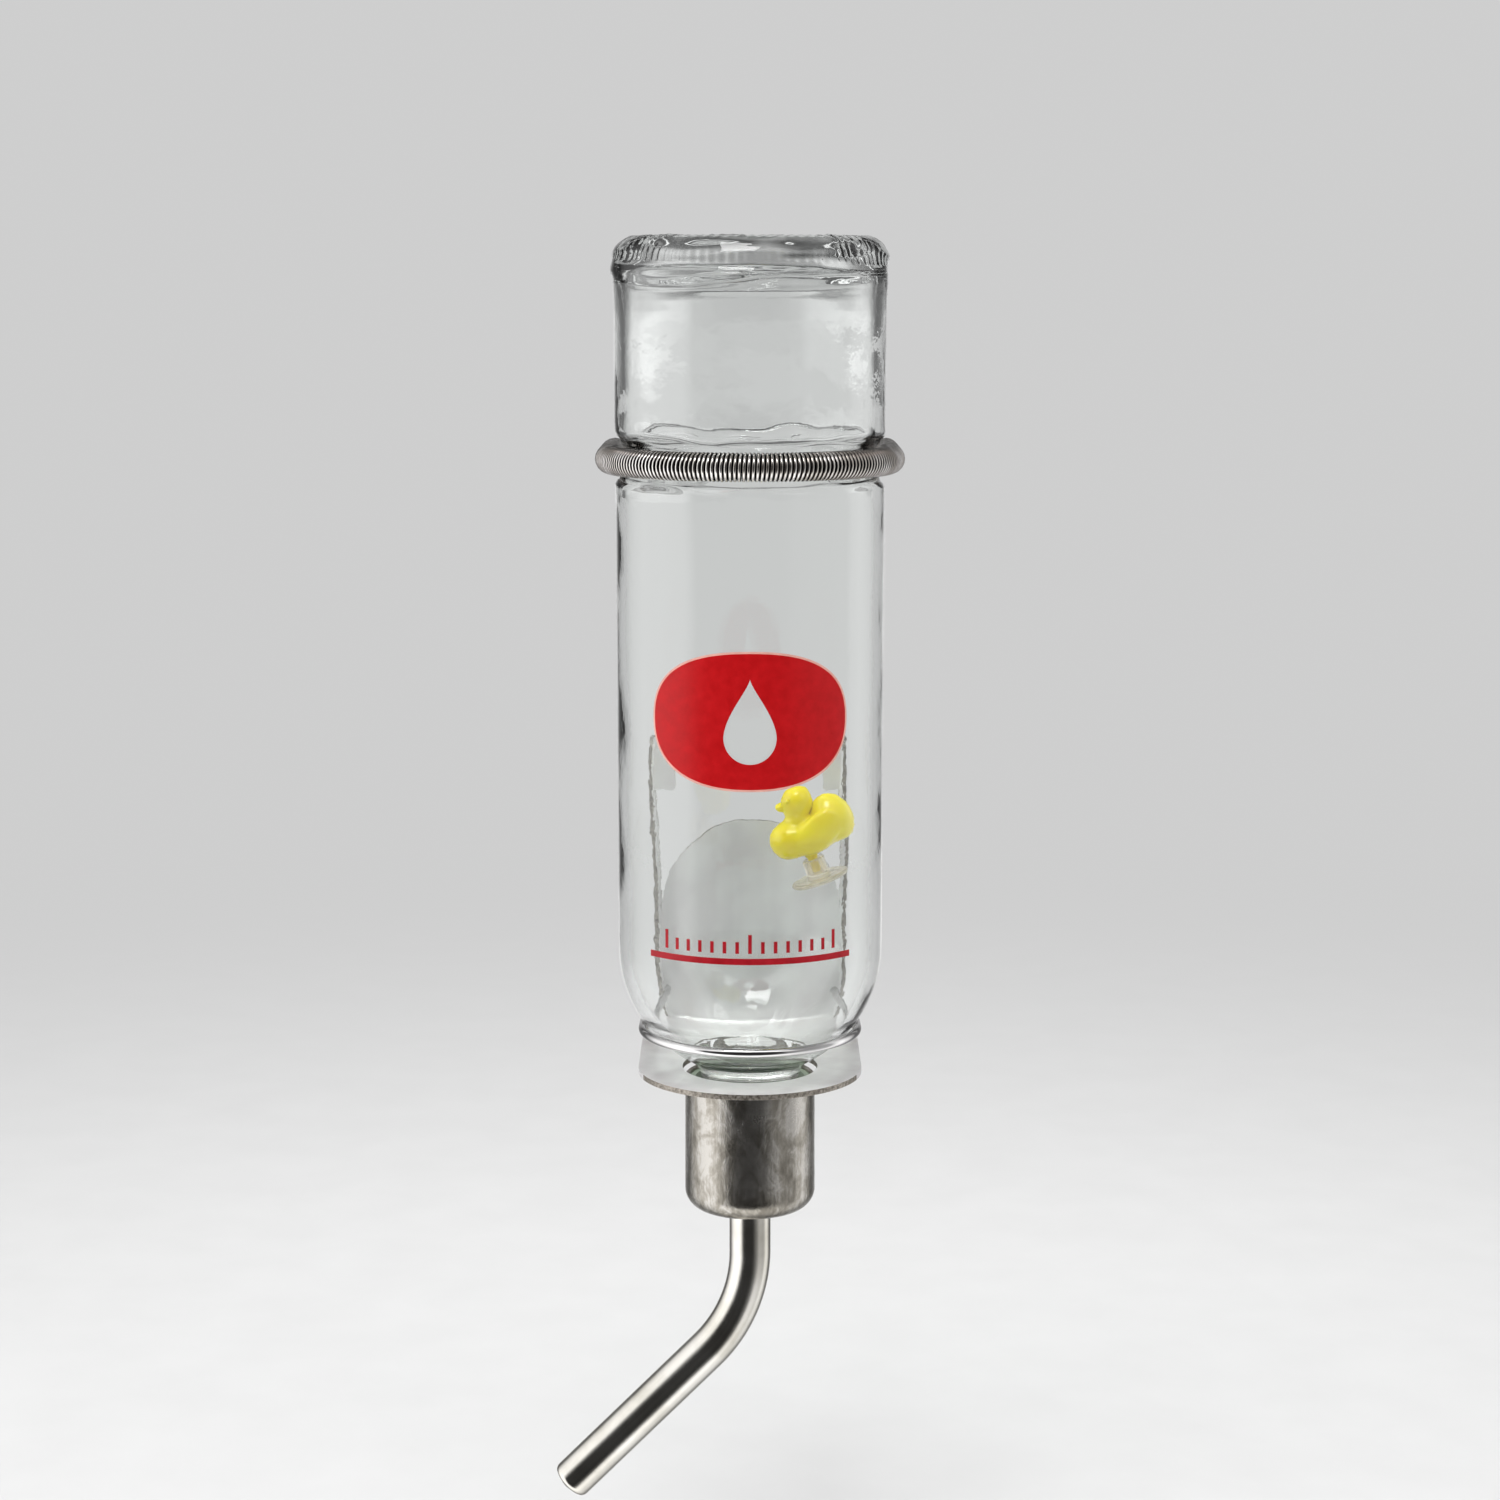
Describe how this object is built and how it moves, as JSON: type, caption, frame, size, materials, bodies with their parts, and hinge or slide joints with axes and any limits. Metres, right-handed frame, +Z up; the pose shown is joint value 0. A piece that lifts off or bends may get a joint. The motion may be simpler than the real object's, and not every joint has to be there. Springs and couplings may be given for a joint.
{
  "type": "rabbit water bottle",
  "caption": "Inverted glass water bottle on a folded steel cage hanger, with a retaining coil spring, steel screw cap, bent ball-valve drinking tube and floating level marker.",
  "frame": {"origin": "centre of the flat rear face of the hanger's back plate, 25 mm above the top of its shelf", "axes": "+Z up along the bottle's axis, +Y out of the hanger's rear face towards the cage, +X to the right seen from the front"},
  "size_m": [0.0793, 0.0717, 0.2898],
  "materials": {
    "plate_steel": "polished sheet, fine scratches",
    "wire_steel": "polished wire",
    "spring_steel": "bright drawn wire",
    "bottle_glass": "clear, slightly wavy moulded glass",
    "satin_steel": "deep-drawn satin",
    "tube_steel": "polished, with faint draw lines",
    "ball_steel": "polished",
    "white_plastic": "moulded",
    "grey_rubber": "moulded",
    "duck_yellow": "glossy, slightly translucent",
    "clear_plastic": "clear, slightly yellowed"
  },
  "bodies": {
    "hanger": {"hanger_bracket": "plate_steel", "cradle_wire": "wire_steel"},
    "bottle": {"glass_bottle": "bottle_glass"},
    "spring": {"coil_spring": "spring_steel"},
    "gasket": {"mouth_gasket": "grey_rubber"},
    "cap": {"cap_shell": "satin_steel", "thread_insert": "white_plastic", "tube_grommet": "grey_rubber"},
    "tube": {"drinking_tube": "tube_steel"},
    "tip_ball": {"tip_ball": "ball_steel"},
    "upper_ball": {"upper_ball": "ball_steel"},
    "duck": {"duck_float": "duck_yellow", "float_keel": "clear_plastic"}
  },
  "joints": [
    {"name": "bottle_lift", "type": "slide", "parent": "hanger", "child": "bottle", "axis": [0, 0, 1], "range_m": [0, 0.06]},
    {"name": "spring_pull_off", "type": "slide", "parent": "bottle", "child": "spring", "axis": [0, -1, 0], "range_m": [0, 0.065]},
    {"name": "cap_travel", "type": "slide", "parent": "bottle", "child": "gasket", "axis": [0, 0, -1], "range_m": [0, 0.00556]},
    {"name": "cap_unscrew", "type": "hinge", "parent": "gasket", "child": "cap", "pos_m": [0, -0.0322, -0.04], "axis": [0, 0, -1], "range_deg": [0, 630]},
    {"name": "tube_swivel", "type": "hinge", "parent": "cap", "child": "tube", "pos_m": [0, -0.0322, -0.06], "axis": [0, 0, 1], "continuous": true},
    {"name": "tip_ball_press", "type": "slide", "parent": "tube", "child": "tip_ball", "axis": [0.7071, 0, 0.7071], "range_m": [0, 0.003]},
    {"name": "upper_ball_lift", "type": "slide", "parent": "tube", "child": "upper_ball", "axis": [0.7071, 0, 0.7071], "range_m": [0, 0.003]},
    {"name": "duck_rise", "type": "slide", "parent": "bottle", "child": "duck", "axis": [0, 0, 1], "range_m": [-0.024, 0.105], "stiffness_N_per_m": 1.62, "springref_m": 0.00975}
  ],
  "couplings": [
    {"joint": "cap_unscrew", "follows": "cap_travel", "rad_per_m": 1975.8},
    {"joint": "upper_ball_lift", "follows": "tip_ball_press", "ratio": 1}
  ]
}
